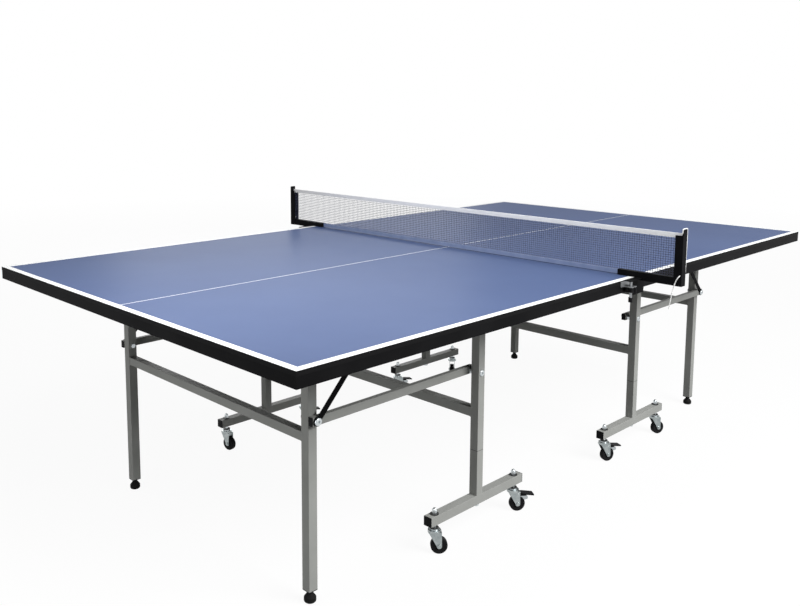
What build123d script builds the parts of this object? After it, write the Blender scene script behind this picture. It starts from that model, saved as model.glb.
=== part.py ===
from build123d import *
import math
import os

# A roll-away table-tennis table in two halves. Each half is a framed top hinged on a wheeled
# frame, with an outer leg frame that stays upright while the top folds. The net set drops over
# the middle. Millimetres; +X runs from the left half to the right half, -Y is the front,
# +Z is up, and the origin is on the floor under the middle of the net.

# --- playing surface and net: the regulation sizes
TABLE_LENGTH = 2740.0
TABLE_WIDTH = 1525.0
TABLE_HEIGHT = 760.0
NET_HEIGHT = 152.5
NET_OVERHANG = 152.5
HALVES_GAP = 5.0

# --- framed top
PANEL_THICKNESS = 12.0
RAIL_HEIGHT = 28.0
RAIL_WIDTH = 20.0
RAIL_INSET = 0.5
CROSS_RAIL_WIDTH = 25.0
TUBE_WALL = 1.5

# --- wheeled frame: one post with a caster bar at the front and one at the back
POST_X = 467.0
POST_Y = 518.0
POST_SIZE = 28.0
POST_CROSSBAR_Z = 376.0
POST_SEAM_Z = 260.0
SPIGOT_LENGTH = 60.0
SPIGOT_OVERLAP = 30.0
BAR_LENGTH = 436.0
BAR_SIZE = 28.0
BAR_BOTTOM_Z = 91.0
CAP_FLANGE = 2.0
CAP_DEPTH = 12.0

# --- outer leg frame
LEG_X = 1077.0
LEG_Y = 456.0
LEG_SIZE = 28.0
LEG_BOTTOM_Z = 35.0
LEG_CROSSBAR_Z = 450.0
LEG_CROSSBAR_SIZE = 25.0
PLUG_DEPTH = 24.0

# --- adjustable foot
FOOT_STEM_DIAMETER = 8.0
FOOT_STEM_LENGTH = 42.0
FOOT_NECK_RADIUS = 7.5
FOOT_NECK_Z = 26.0
FOOT_WIDEST_RADIUS = 16.5
FOOT_WIDEST_Z = (8.0, 14.0)
FOOT_SOLE_RADIUS = 10.0
FOOT_BULGE = 0.75

# --- fold linkage
PIVOT_DROP = 22.0
TUBE_PAST_PIVOT = 11.0
LINK_Z = 500.0
ROD_HEIGHT = 23.0
ROD_WIDTH = 15.0
ROD_WALL = 1.5
ROD_PAST_PIVOT = 14.0
STAY_ANGLE = 46.0
STAY_WIDTH = 16.0
STAY_THICKNESS = 3.0
STAY_EYE_DIAMETER = 26.0
BRACKET_PLATE = 3.0
BRACKET_WIDTH = 26.0
BRACKET_BASE_WIDTH = 32.0
BRACKET_SIDE_GAP = 0.5
CATCH_WIDTH = 20.0
CATCH_LIP = 5.0
CATCH_INBOARD = 4.0

# --- pivot bolts
PIVOT_DIAMETER = 8.0
PIVOT_WASHER_DIAMETER = 20.0
PIVOT_WASHER = 2.7
PIVOT_HEAD_DIAMETER = 22.0
PIVOT_HEAD_HEIGHT = 5.0
POST_HEAD_DIAMETER = 20.0
POST_HEAD_HEIGHT = 3.5
HEX_SOCKET = 6.0
NUT_ACROSS = 13.0
NUT_HEIGHT = 6.5
BOLT_END = 1.0
HEAD_ROUND_SHARE = 0.8
SOCKET_FLOOR_SHARE = 0.35

# --- bolt that holds each post to its caster bar
BASE_BOLT_DIAMETER = 10.0
BASE_BOLT_ACROSS = 17.0
BASE_BOLT_HEAD = 7.0
BASE_WASHER_DIAMETER = 21.0
BASE_WASHER = 2.0
BASE_BOLT_END = 2.0

# --- caster
STEM_INSET = 28.0
STEM_DIAMETER = 8.0
STEM_HEAD_DIAMETER = 18.0
STEM_HEAD = 3.2
STEM_WASHER_DIAMETER = 26.0
STEM_WASHER = 2.0
CAP_NUT_ACROSS = 13.0
CAP_NUT_HEIGHT = 17.0
CAP_NUT_DOME = 6.0
COLLAR_DIAMETER = 12.0
COLLAR_HEIGHT = 11.0
RACE_DIAMETER = 26.0
RACE_HEIGHT = 7.0
CROWN_DIAMETER = 38.0
CROWN_HEIGHT = 8.0
WHEEL_DIAMETER = 50.0
WHEEL_WIDTH = 18.0
TREAD_ROUND = 3.0
HUB_DIAMETER = 22.0
AXLE_DIAMETER = 8.0
AXLE_HEAD_DIAMETER = 11.0
AXLE_HEAD = 3.0
TRAIL = 14.0
FORK_GAP = 21.0
FORK_PLATE = 2.0
FORK_TOE_RADIUS = 7.5
FORK_TOP_LEAD = 17.0
FORK_TOP_TRAIL = 21.0
BRAKE_PIN_DIAMETER = 4.0
BRAKE_PIN_X = 13.0
BRAKE_PIN_Z = 58.0
BRAKE_PIN_END = 1.0
BRAKE_HUB_DIAMETER = 9.0
LEVER_REACH = 67.0
LEVER_TIP_Z = 55.0
LEVER_THICKNESS = 4.5
LEVER_WIDTH = 24.0
LEVER_PAD_FROM = 30.0
SHOE_WIDTH = 19.0
SHOE_REACH = 47.0
SHOE_TIP_Z = (40.0, 48.0)
SHOE_HEEL_X = 35.0
SHOE_HEEL_Z = 37.0
SHOE_CLEARANCE = 0.3

# --- net set
NET_POST_SIZE = 25.0
NET_POST_WALL = 2.5
NET_POST_FLANGE_BELOW_TAPE = 6.0
NET_POST_WEB_ABOVE_TAPE = 12.0
WEB_CORNER_RADIUS = 3.0
CORD_HOLE_DIAMETER = 6.0
CORD_HOLE_OFF_WEB = 2.9
CORD_HOLE_ABOVE_ARM = 7.5
ARM_HEIGHT = 25.0
ARM_TOP_ABOVE_TABLE = 18.0
ARM_INBOARD = 57.5
ARM_WALL = 2.5
MESH_THICKNESS = 1.2
TAPE_THICKNESS = 2.4
TAPE_HEIGHT = 15.0
NET_PAST_POST_EDGE = 15.0
NET_OFF_TABLE = 2.0
CORD_DIAMETER = 3.0
CORD_BEND_SHARE = 0.45

# --- plate that hangs from each net arm outside the apron, with its tab over the keeper
SIDE_PLATE = 4.0
SIDE_PLATE_OFF_EDGE = 0.5
SIDE_PLATE_LEFT = -35.0
SIDE_PLATE_RIGHT_TOP = 50.0
SIDE_PLATE_RIGHT_BOTTOM = 42.0
SIDE_PLATE_DROP = 47.0
TAB_LEFT = -72.0
TAB_DEPTH = 25.0
TAB_THICKNESS = 3.0

# --- keeper on the left half's edge, with the thumb screw that bears up on the tab; each
# drop is measured down from the playing surface, lowest first
KEEPER_X = (-92.0, -41.0)
KEEPER_DROPS = (21.0, 4.0)
KEEPER_PLATE = 2.0
LUG_X = (-74.0, -46.0)
LUG_THICKNESS = 3.0
LUG_DEPTH = 28.5
SCREW_X = -60.0
SCREW_OFF_EDGE = 17.5
SCREW_DIAMETER = 8.0
SCREW_BOTTOM_DROP = 64.0
KNOB_DIAMETER = 24.0
KNOB_LOBES = 5
KNOB_LOBE_DIAMETER = 10.0
KNOB_DROPS = (36.0, 22.0)
SCREW_CAP_DIAMETER = 13.0
SCREW_CAP_DROPS = (68.0, 53.0)

# --- clearances, and how far a cutter runs past the faces it cuts
RUNNING = 0.05
FACE_GAP = 0.3
OPEN_PIVOT = 0.2
PAST = 1.0

# --- places worked out from the sizes above
HALF_LENGTH = (TABLE_LENGTH - HALVES_GAP) / 2
HALF_CENTRE_X = -(TABLE_LENGTH + HALVES_GAP) / 4
RAIL_TOP_Z = TABLE_HEIGHT - PANEL_THICKNESS
RAIL_BOTTOM_Z = RAIL_TOP_Z - RAIL_HEIGHT
PIVOT_Z = RAIL_BOTTOM_Z - PIVOT_DROP
TUBE_TOP_Z = PIVOT_Z + TUBE_PAST_PIVOT
BAR_TOP_Z = BAR_BOTTOM_Z + BAR_SIZE
LEG_OUTER_Y = LEG_Y + LEG_SIZE / 2
LEG_INNER_Y = LEG_Y - LEG_SIZE / 2
POST_INNER_Y = POST_Y - POST_SIZE / 2
POST_OUTER_Y = POST_Y + POST_SIZE / 2
ROD_INNER_Y = LEG_OUTER_Y + PIVOT_WASHER + FACE_GAP
ROD_OUTER_Y = ROD_INNER_Y + ROD_WIDTH
STAY_INNER_Y = ROD_OUTER_Y + FACE_GAP
STAY_OUTER_Y = STAY_INNER_Y + STAY_THICKNESS
CATCH_BOTTOM_Z = RAIL_BOTTOM_Z - BRACKET_PLATE
STAY_RISE = CATCH_BOTTOM_Z - FACE_GAP - STAY_WIDTH / 2 - LINK_Z
STAY_LENGTH = STAY_RISE / math.sin(math.radians(STAY_ANGLE))
STAY_TOP_X = LEG_X - STAY_RISE / math.tan(math.radians(STAY_ANGLE))
RACE_TOP_Z = BAR_BOTTOM_Z - COLLAR_HEIGHT
RACE_BOTTOM_Z = RACE_TOP_Z - RACE_HEIGHT
CROWN_TOP_Z = RACE_BOTTOM_Z - FACE_GAP
CROWN_BOTTOM_Z = CROWN_TOP_Z - CROWN_HEIGHT
NET_POST_Y = TABLE_WIDTH / 2 + NET_OVERHANG
NET_POST_EDGE_Y = NET_POST_Y - NET_POST_SIZE
NET_POST_WEB_Y = NET_POST_Y - NET_POST_WALL
TAPE_TOP_Z = TABLE_HEIGHT + NET_HEIGHT
FLANGE_TOP_Z = TAPE_TOP_Z - NET_POST_FLANGE_BELOW_TAPE
WEB_TOP_Z = TAPE_TOP_Z + NET_POST_WEB_ABOVE_TAPE
ARM_TOP_Z = TABLE_HEIGHT + ARM_TOP_ABOVE_TABLE
ARM_BOTTOM_Z = ARM_TOP_Z - ARM_HEIGHT
ARM_WIDTH = NET_POST_SIZE - 2 * NET_POST_WALL
ARM_START_Y = TABLE_WIDTH / 2 - ARM_INBOARD
SIDE_PLATE_Y = TABLE_WIDTH / 2 + SIDE_PLATE_OFF_EDGE
TAB_Z = (TABLE_HEIGHT - TAB_THICKNESS, TABLE_HEIGHT)
SCREW_TOP_Z = TAB_Z[0] - FACE_GAP
SCREW_BOTTOM_Z = TABLE_HEIGHT - SCREW_BOTTOM_DROP
KEEPER_Z = tuple(TABLE_HEIGHT - drop for drop in KEEPER_DROPS)
KNOB_Z = tuple(TABLE_HEIGHT - drop for drop in KNOB_DROPS)
SCREW_CAP_Z = tuple(TABLE_HEIGHT - drop for drop in SCREW_CAP_DROPS)
CORD_HOLE_Y = NET_POST_WEB_Y - CORD_HOLE_OFF_WEB
CORD_HOLE_Z = ARM_TOP_Z + CORD_HOLE_ABOVE_ARM


# --- helpers

def box(x_range, y_range, z_range):
    """A box between two limits on each axis."""
    size = [high - low for low, high in (x_range, y_range, z_range)]
    middle = [(high + low) / 2 for low, high in (x_range, y_range, z_range)]
    return Pos(*middle) * Box(*size)


def tube_x(length, width, height, wall):
    """A rectangular tube along X, centred on the origin."""
    inside = Box(length + 2 * PAST, width - 2 * wall, height - 2 * wall)
    return Box(length, width, height) - inside


def tube_y(length, width, height, wall):
    """A rectangular tube along Y, centred on the origin."""
    inside = Box(width - 2 * wall, length + 2 * PAST, height - 2 * wall)
    return Box(width, length, height) - inside


def tube_z(low, high, size, wall):
    """A square tube along Z between two heights."""
    inside = Box(size - 2 * wall, size - 2 * wall, high - low + 2 * PAST)
    return Pos(0, 0, (low + high) / 2) * (Box(size, size, high - low) - inside)


def rod_y(x, z, y_low, y_high, diameter):
    """A round bar along Y between two places."""
    middle = (y_low + y_high) / 2
    return Pos(x, middle, z) * Rot(90, 0, 0) * Cylinder(diameter / 2, y_high - y_low)


def rod_z(x, y, z_low, z_high, diameter):
    """A round bar along Z between two heights."""
    return Pos(x, y, (z_low + z_high) / 2) * Cylinder(diameter / 2, z_high - z_low)


def plate_y(points, y_low, y_high):
    """A flat plate between two places along Y, from its outline in X and Z."""
    face = make_face(Plane.XZ * Polyline(*points, close=True))
    solid = extrude(face, (y_high - y_low) / 2, both=True)
    return Pos(0, (y_low + y_high) / 2, 0) * solid


def plate_z(points, z_low, z_high):
    """A flat plate between two heights, from its outline in X and Y."""
    face = make_face(Polyline(*points, close=True))
    return Pos(0, 0, z_low) * extrude(face, z_high - z_low)


def mitred_tube(length, width, height, wall):
    """A rectangular tube along X with both ends cut at 45 degrees, its long side towards -Y."""
    end = length / 2
    side = width / 2 + PAST
    outline = [(-end - PAST, -side), (end + PAST, -side),
               (end - width - PAST, side), (-end + width + PAST, side)]
    keep = plate_z(outline, -height / 2 - PAST, height / 2 + PAST)
    return tube_x(length + 2 * PAST, width, height, wall) & keep


def hexagon_y(x, z, y_low, y_high, across):
    """A hexagonal bar along Y, as wide across its flats as given."""
    outline = RegularPolygon(across / 2, 6, major_radius=False)
    return Pos(x, y_high, z) * Rot(90, 0, 0) * extrude(outline, y_high - y_low)


def hexagon_z(x, y, z_low, z_high, across):
    """A hexagonal bar along Z, as wide across its flats as given."""
    outline = RegularPolygon(across / 2, 6, major_radius=False)
    return Pos(x, y, z_low) * extrude(outline, z_high - z_low)


def domed_head(x, z, y_seat, diameter, height):
    """A low round bolt head on the far side of y_seat, with a hexagon socket."""
    head = rod_y(x, z, y_seat, y_seat + height, diameter)
    rim = head.edges().sort_by(Axis.Y)[-1]
    head = fillet(rim, min(height, diameter / 4) * HEAD_ROUND_SHARE)
    socket_floor = y_seat + height * SOCKET_FLOOR_SHARE
    return head - hexagon_y(x, z, socket_floor, y_seat + height + PAST, HEX_SOCKET)


def front_pieces(back_pieces):
    """The same pieces on the front side, in the order given."""
    return [mirror(piece, about=Plane.XZ) for piece in back_pieces]


def both_sides(back_pieces):
    """Pieces modelled at the back, together with their front copies."""
    return back_pieces + front_pieces(back_pieces)


def right_pieces(left_pieces):
    """The same pieces on the right half."""
    return [mirror(piece, about=Plane.YZ) for piece in left_pieces]


# --- framed top, modelled for the left half

def table_top():
    x_range = (-TABLE_LENGTH / 2, -HALVES_GAP / 2)
    y_range = (-TABLE_WIDTH / 2, TABLE_WIDTH / 2)
    return [box(x_range, y_range, (RAIL_TOP_Z, TABLE_HEIGHT))]


def top_frame():
    """Four rails mitred at the corners, and a cross rail over each hinge line and stay catch."""
    rail_z = (RAIL_TOP_Z + RAIL_BOTTOM_Z) / 2
    edge_to_middle = RAIL_INSET + RAIL_WIDTH / 2
    side_y = TABLE_WIDTH / 2 - edge_to_middle
    outer_x = TABLE_LENGTH / 2 - edge_to_middle
    inner_x = HALVES_GAP / 2 + edge_to_middle
    side = mitred_tube(HALF_LENGTH - 2 * RAIL_INSET, RAIL_WIDTH, RAIL_HEIGHT, TUBE_WALL)
    end = mitred_tube(TABLE_WIDTH - 2 * RAIL_INSET, RAIL_WIDTH, RAIL_HEIGHT, TUBE_WALL)
    rails = [
        Pos(HALF_CENTRE_X, -side_y, rail_z) * side,
        Pos(HALF_CENTRE_X, side_y, rail_z) * Rot(0, 0, 180) * side,
        Pos(-outer_x, 0, rail_z) * Rot(0, 0, -90) * end,
        Pos(-inner_x, 0, rail_z) * Rot(0, 0, 90) * end,
    ]
    inside_width = 2 * side_y - RAIL_WIDTH
    cross = tube_y(inside_width, CROSS_RAIL_WIDTH, RAIL_HEIGHT, TUBE_WALL)
    for x in (LEG_X, STAY_TOP_X, POST_X):
        rails.append(Pos(-x, 0, rail_z) * cross)
    return rails


def hinge_bracket(x, y, tube_size):
    """An upside-down U under a cross rail, with an ear on each side of the tube it carries."""
    inner = tube_size / 2 + BRACKET_SIDE_GAP
    outer = inner + BRACKET_PLATE
    plate_bottom = PIVOT_DROP - BRACKET_PLATE
    bracket = box((-BRACKET_BASE_WIDTH / 2, BRACKET_BASE_WIDTH / 2), (-outer, outer),
                  (plate_bottom, PIVOT_DROP))
    for low, high in ((-outer, -inner), (inner, outer)):
        ear = box((-BRACKET_WIDTH / 2, BRACKET_WIDTH / 2), (low, high), (0, plate_bottom))
        bracket += ear + rod_y(0, 0, low, high, BRACKET_WIDTH)
    bracket -= rod_y(0, 0, -outer - PAST, outer + PAST, PIVOT_DIAMETER + 2 * RUNNING)
    return Pos(x, y, PIVOT_Z) * bracket


def stay_catch():
    """A plate that the stay's top end bears on, with a short lip on its outer side."""
    y_middle = (STAY_INNER_Y + STAY_OUTER_Y) / 2
    y_range = (y_middle - CATCH_WIDTH / 2, y_middle + CATCH_WIDTH / 2)
    x_lip = -STAY_TOP_X - STAY_WIDTH / 2 - FACE_GAP
    x_inboard = -STAY_TOP_X + STAY_WIDTH / 2 + CATCH_INBOARD
    plate = box((x_lip - BRACKET_PLATE, x_inboard), y_range, (CATCH_BOTTOM_Z, RAIL_BOTTOM_Z))
    lip_bottom = CATCH_BOTTOM_Z - CATCH_LIP
    return plate + box((x_lip - BRACKET_PLATE, x_lip), y_range, (lip_bottom, CATCH_BOTTOM_Z))


def hinge_brackets():
    pieces = [
        hinge_bracket(-POST_X, POST_Y, POST_SIZE),
        hinge_bracket(-LEG_X, LEG_Y, LEG_SIZE),
        stay_catch(),
    ]
    return both_sides(pieces)


# --- outer leg frame, modelled for the left half

def leg_frame():
    """Two legs and the crossbar between them."""
    leg = Pos(-LEG_X, LEG_Y, 0) * tube_z(LEG_BOTTOM_Z, TUBE_TOP_Z, LEG_SIZE, TUBE_WALL)
    for z in (PIVOT_Z, LINK_Z):
        leg -= rod_y(-LEG_X, z, LEG_INNER_Y - PAST, LEG_OUTER_Y + PAST, PIVOT_DIAMETER + 2 * RUNNING)
    crossbar = tube_y(2 * LEG_INNER_Y, LEG_CROSSBAR_SIZE, LEG_CROSSBAR_SIZE, TUBE_WALL)
    return both_sides([leg]) + [Pos(-LEG_X, 0, LEG_CROSSBAR_Z) * crossbar]


def leg_plugs():
    """The black plug in each leg's lower end, with the foot's threaded hole."""
    inside = LEG_SIZE - 2 * TUBE_WALL
    flange_z = LEG_BOTTOM_Z - CAP_FLANGE
    plug = Pos(0, 0, LEG_BOTTOM_Z - CAP_FLANGE / 2) * Box(LEG_SIZE, LEG_SIZE, CAP_FLANGE)
    plug += Pos(0, 0, LEG_BOTTOM_Z + PLUG_DEPTH / 2) * Box(inside, inside, PLUG_DEPTH)
    plug -= rod_z(0, 0, flange_z - PAST, LEG_BOTTOM_Z + PLUG_DEPTH + PAST,
                  FOOT_STEM_DIAMETER + 2 * RUNNING)
    return both_sides([Pos(-LEG_X, LEG_Y, 0) * plug])


def foot():
    """A flared foot on a threaded stem, turned about Z."""
    neck_top = LEG_BOTTOM_Z - CAP_FLANGE - FACE_GAP
    stem = FOOT_STEM_DIAMETER / 2
    low_z, high_z = FOOT_WIDEST_Z
    outline = Polyline(
        (FOOT_WIDEST_RADIUS, low_z),
        (FOOT_WIDEST_RADIUS, high_z),
        (FOOT_NECK_RADIUS, FOOT_NECK_Z),
        (FOOT_NECK_RADIUS, neck_top),
        (stem, neck_top),
        (stem, neck_top + FOOT_STEM_LENGTH),
        (0, neck_top + FOOT_STEM_LENGTH),
        (0, 0),
        (FOOT_SOLE_RADIUS, 0),
    )
    arc_middle = (FOOT_SOLE_RADIUS + (FOOT_WIDEST_RADIUS - FOOT_SOLE_RADIUS) * FOOT_BULGE,
                  low_z * (1 - FOOT_BULGE))
    sole = ThreePointArc((FOOT_SOLE_RADIUS, 0), arc_middle, (FOOT_WIDEST_RADIUS, low_z))
    profile = make_face(Plane.XZ * (outline + sole))
    return revolve(profile, Axis.Z)


# --- tie rods and stays, modelled for the left half

def tie_rods():
    """A flat rod from each post to its leg, which keeps the leg upright as the top folds."""
    x_low, x_high = -LEG_X - ROD_PAST_PIVOT, -POST_X + ROD_PAST_PIVOT
    y_middle = (ROD_INNER_Y + ROD_OUTER_Y) / 2
    rod = Pos((x_low + x_high) / 2, y_middle, LINK_Z) * tube_x(
        x_high - x_low, ROD_WIDTH, ROD_HEIGHT, ROD_WALL
    )
    rod -= rod_y(-LEG_X, LINK_Z, ROD_INNER_Y - PAST, ROD_OUTER_Y + PAST,
                 PIVOT_DIAMETER + 2 * OPEN_PIVOT)
    rod -= rod_y(-POST_X, LINK_Z, ROD_INNER_Y - PAST, ROD_OUTER_Y + PAST,
                 PIVOT_DIAMETER + 2 * RUNNING)
    return both_sides([rod])


def end_cap(width, height, wall, depth):
    """A plug with a flange, for the tube end at the origin that faces -X."""
    cap = box((-CAP_FLANGE, 0), (-width / 2, width / 2), (-height / 2, height / 2))
    inside = (width / 2 - wall, height / 2 - wall)
    return cap + box((0, depth), (-inside[0], inside[0]), (-inside[1], inside[1]))


def tie_rod_caps():
    y_middle = (ROD_INNER_Y + ROD_OUTER_Y) / 2
    depth = ROD_PAST_PIVOT - PIVOT_DIAMETER
    cap = end_cap(ROD_WIDTH, ROD_HEIGHT, ROD_WALL, depth)
    outer = Pos(-LEG_X - ROD_PAST_PIVOT, y_middle, LINK_Z) * cap
    inner = Pos(-POST_X + ROD_PAST_PIVOT, y_middle, LINK_Z) * Rot(0, 0, 180) * cap
    return both_sides([outer, inner])


def stays():
    """A flat strut from the leg's lower pivot up to the catch under the top."""
    y_middle = (STAY_INNER_Y + STAY_OUTER_Y) / 2
    bar = Pos(STAY_LENGTH / 2, 0, 0) * Box(STAY_LENGTH, STAY_THICKNESS, STAY_WIDTH)
    bar += rod_y(STAY_LENGTH, 0, -STAY_THICKNESS / 2, STAY_THICKNESS / 2, STAY_WIDTH)
    bar += rod_y(0, 0, -STAY_THICKNESS / 2, STAY_THICKNESS / 2, STAY_EYE_DIAMETER)
    bar -= rod_y(0, 0, -STAY_THICKNESS, STAY_THICKNESS, PIVOT_DIAMETER + 2 * OPEN_PIVOT)
    return both_sides([Pos(-LEG_X, y_middle, LINK_Z) * Rot(0, -STAY_ANGLE, 0) * bar])


# --- pivot bolts, modelled for the left half

def pivot_bolt(x, z, y_nut, y_head, head_diameter, head_height):
    """A bolt along Y and its nut, which lies on the inner side of y_nut."""
    bolt = rod_y(x, z, y_nut - NUT_HEIGHT - BOLT_END, y_head, PIVOT_DIAMETER)
    bolt += domed_head(x, z, y_head, head_diameter, head_height)
    nut = hexagon_y(x, z, y_nut - NUT_HEIGHT, y_nut, NUT_ACROSS)
    nut -= rod_y(x, z, y_nut - NUT_HEIGHT - PAST, y_nut + PAST, PIVOT_DIAMETER)
    return [bolt, nut]


def ring_y(x, z, y_low, y_high, diameter):
    """A washer or spacer on a pivot bolt."""
    ring = rod_y(x, z, y_low, y_high, diameter)
    return ring - rod_y(x, z, y_low - PAST, y_high + PAST, PIVOT_DIAMETER + 2 * RUNNING)


def bracket_side(tube_size):
    """How far a hinge bracket's outside lies from its middle."""
    return tube_size / 2 + BRACKET_SIDE_GAP + BRACKET_PLATE


def leg_pivot_bolts():
    side = bracket_side(LEG_SIZE) + FACE_GAP
    upper = pivot_bolt(-LEG_X, PIVOT_Z, LEG_Y - side, LEG_Y + side,
                       POST_HEAD_DIAMETER, POST_HEAD_HEIGHT)
    lower = pivot_bolt(-LEG_X, LINK_Z, LEG_INNER_Y, STAY_OUTER_Y + FACE_GAP,
                       PIVOT_HEAD_DIAMETER, PIVOT_HEAD_HEIGHT)
    washer = ring_y(-LEG_X, LINK_Z, LEG_OUTER_Y, LEG_OUTER_Y + PIVOT_WASHER,
                    PIVOT_WASHER_DIAMETER)
    return both_sides(upper + lower + [washer])


def frame_bolts():
    """The post's two pivot bolts, its spacer, and the bolt up through the caster bar."""
    side = bracket_side(POST_SIZE) + FACE_GAP
    upper = pivot_bolt(-POST_X, PIVOT_Z, POST_Y - side, POST_Y + side,
                       POST_HEAD_DIAMETER, POST_HEAD_HEIGHT)
    lower = pivot_bolt(-POST_X, LINK_Z, ROD_INNER_Y - FACE_GAP, POST_OUTER_Y,
                       POST_HEAD_DIAMETER, POST_HEAD_HEIGHT)
    spacer = ring_y(-POST_X, LINK_Z, ROD_OUTER_Y + FACE_GAP, POST_INNER_Y,
                    PIVOT_WASHER_DIAMETER)
    nut_top = BAR_TOP_Z + BASE_BOLT_HEAD
    washer_bottom = BAR_BOTTOM_Z - BASE_WASHER
    base = rod_z(-POST_X, POST_Y, washer_bottom, nut_top + BASE_BOLT_END, BASE_BOLT_DIAMETER)
    base += hexagon_z(-POST_X, POST_Y, washer_bottom - BASE_BOLT_HEAD, washer_bottom,
                      BASE_BOLT_ACROSS)
    washer = rod_z(-POST_X, POST_Y, washer_bottom, BAR_BOTTOM_Z, BASE_WASHER_DIAMETER)
    washer -= rod_z(-POST_X, POST_Y, washer_bottom - PAST, BAR_BOTTOM_Z + PAST, BASE_BOLT_DIAMETER)
    nut = hexagon_z(-POST_X, POST_Y, BAR_TOP_Z, nut_top, BASE_BOLT_ACROSS)
    nut -= rod_z(-POST_X, POST_Y, BAR_TOP_Z - PAST, nut_top + PAST, BASE_BOLT_DIAMETER)
    return both_sides(upper + lower + [spacer, base, washer, nut])


# --- wheeled frame, modelled for the left half

def post_frame():
    """The two upper posts and the crossbar between them."""
    post = Pos(-POST_X, POST_Y, 0) * tube_z(POST_SEAM_Z, TUBE_TOP_Z, POST_SIZE, TUBE_WALL)
    for z in (PIVOT_Z, LINK_Z):
        post -= rod_y(-POST_X, z, POST_INNER_Y - PAST, POST_OUTER_Y + PAST,
                      PIVOT_DIAMETER + 2 * RUNNING)
    crossbar = tube_y(2 * POST_INNER_Y, POST_SIZE, POST_SIZE, TUBE_WALL)
    return both_sides([post]) + [Pos(-POST_X, 0, POST_CROSSBAR_Z) * crossbar]


def stem_places():
    """The caster stems' X, outer one first."""
    reach = BAR_LENGTH / 2 - STEM_INSET
    return (-POST_X - reach, -POST_X + reach)


def caster_bases():
    """A caster bar and the lower post that stands on it, whose spigot enters the upper post."""
    bar = Pos(-POST_X, POST_Y, BAR_BOTTOM_Z + BAR_SIZE / 2) * tube_x(
        BAR_LENGTH, BAR_SIZE, BAR_SIZE, TUBE_WALL
    )
    bar -= rod_z(-POST_X, POST_Y, BAR_BOTTOM_Z - PAST, BAR_TOP_Z + PAST, BASE_BOLT_DIAMETER)
    for x in stem_places():
        bar -= rod_z(x, POST_Y, BAR_BOTTOM_Z - PAST, BAR_TOP_Z + PAST, STEM_DIAMETER)
    post = tube_z(BAR_TOP_Z, POST_SEAM_Z, POST_SIZE, TUBE_WALL)
    spigot_size = POST_SIZE - 2 * TUBE_WALL
    post += tube_z(POST_SEAM_Z - SPIGOT_OVERLAP, POST_SEAM_Z + SPIGOT_LENGTH, spigot_size, TUBE_WALL)
    return both_sides([bar, Pos(-POST_X, POST_Y, 0) * post])


def bar_end_caps():
    cap = end_cap(BAR_SIZE, BAR_SIZE, TUBE_WALL, CAP_DEPTH)
    z = BAR_BOTTOM_Z + BAR_SIZE / 2
    outer = Pos(-POST_X - BAR_LENGTH / 2, POST_Y, z) * cap
    inner = Pos(-POST_X + BAR_LENGTH / 2, POST_Y, z) * Rot(0, 0, 180) * cap
    return both_sides([outer, inner])


def caster_stems():
    """The fixed kingpins with their collars and upper races, washers and cap nuts."""
    pieces = []
    for x in stem_places():
        head_top = CROWN_BOTTOM_Z - FACE_GAP
        washer_top = BAR_TOP_Z + STEM_WASHER
        pin_top = washer_top + CAP_NUT_HEIGHT - CAP_NUT_DOME
        pin = rod_z(x, POST_Y, head_top - STEM_HEAD, pin_top, STEM_DIAMETER)
        pin += rod_z(x, POST_Y, head_top - STEM_HEAD, head_top, STEM_HEAD_DIAMETER)
        race = rod_z(x, POST_Y, RACE_BOTTOM_Z, RACE_TOP_Z, RACE_DIAMETER)
        race += rod_z(x, POST_Y, RACE_TOP_Z, BAR_BOTTOM_Z, COLLAR_DIAMETER)
        washer = rod_z(x, POST_Y, BAR_TOP_Z, washer_top, STEM_WASHER_DIAMETER)
        bore = rod_z(x, POST_Y, RACE_BOTTOM_Z - PAST, pin_top, STEM_DIAMETER)
        cap = hexagon_z(x, POST_Y, washer_top, pin_top, CAP_NUT_ACROSS)
        dome = Sphere(CAP_NUT_ACROSS / 2) & Pos(0, 0, CAP_NUT_ACROSS / 2) * Box(
            CAP_NUT_ACROSS, CAP_NUT_ACROSS, CAP_NUT_ACROSS
        )
        cap += Pos(x, POST_Y, pin_top) * dome
        pieces += [pin, race - bore, washer - bore, cap - bore]
    return both_sides(pieces)


# --- caster, modelled with its stem on the Z axis and its wheel trailing towards +X

def fork_plate(y_low, y_high):
    """One side of the fork, from its bridge under the crown down to the axle."""
    top = CROWN_BOTTOM_Z + FORK_PLATE
    toe = WHEEL_DIAMETER / 2
    outline = [
        (-FORK_TOP_LEAD, top),
        (FORK_TOP_TRAIL, top),
        (TRAIL + FORK_TOE_RADIUS, toe),
        (TRAIL - FORK_TOE_RADIUS, toe),
    ]
    return plate_y(outline, y_low, y_high) + rod_y(TRAIL, toe, y_low, y_high, 2 * FORK_TOE_RADIUS)


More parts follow.
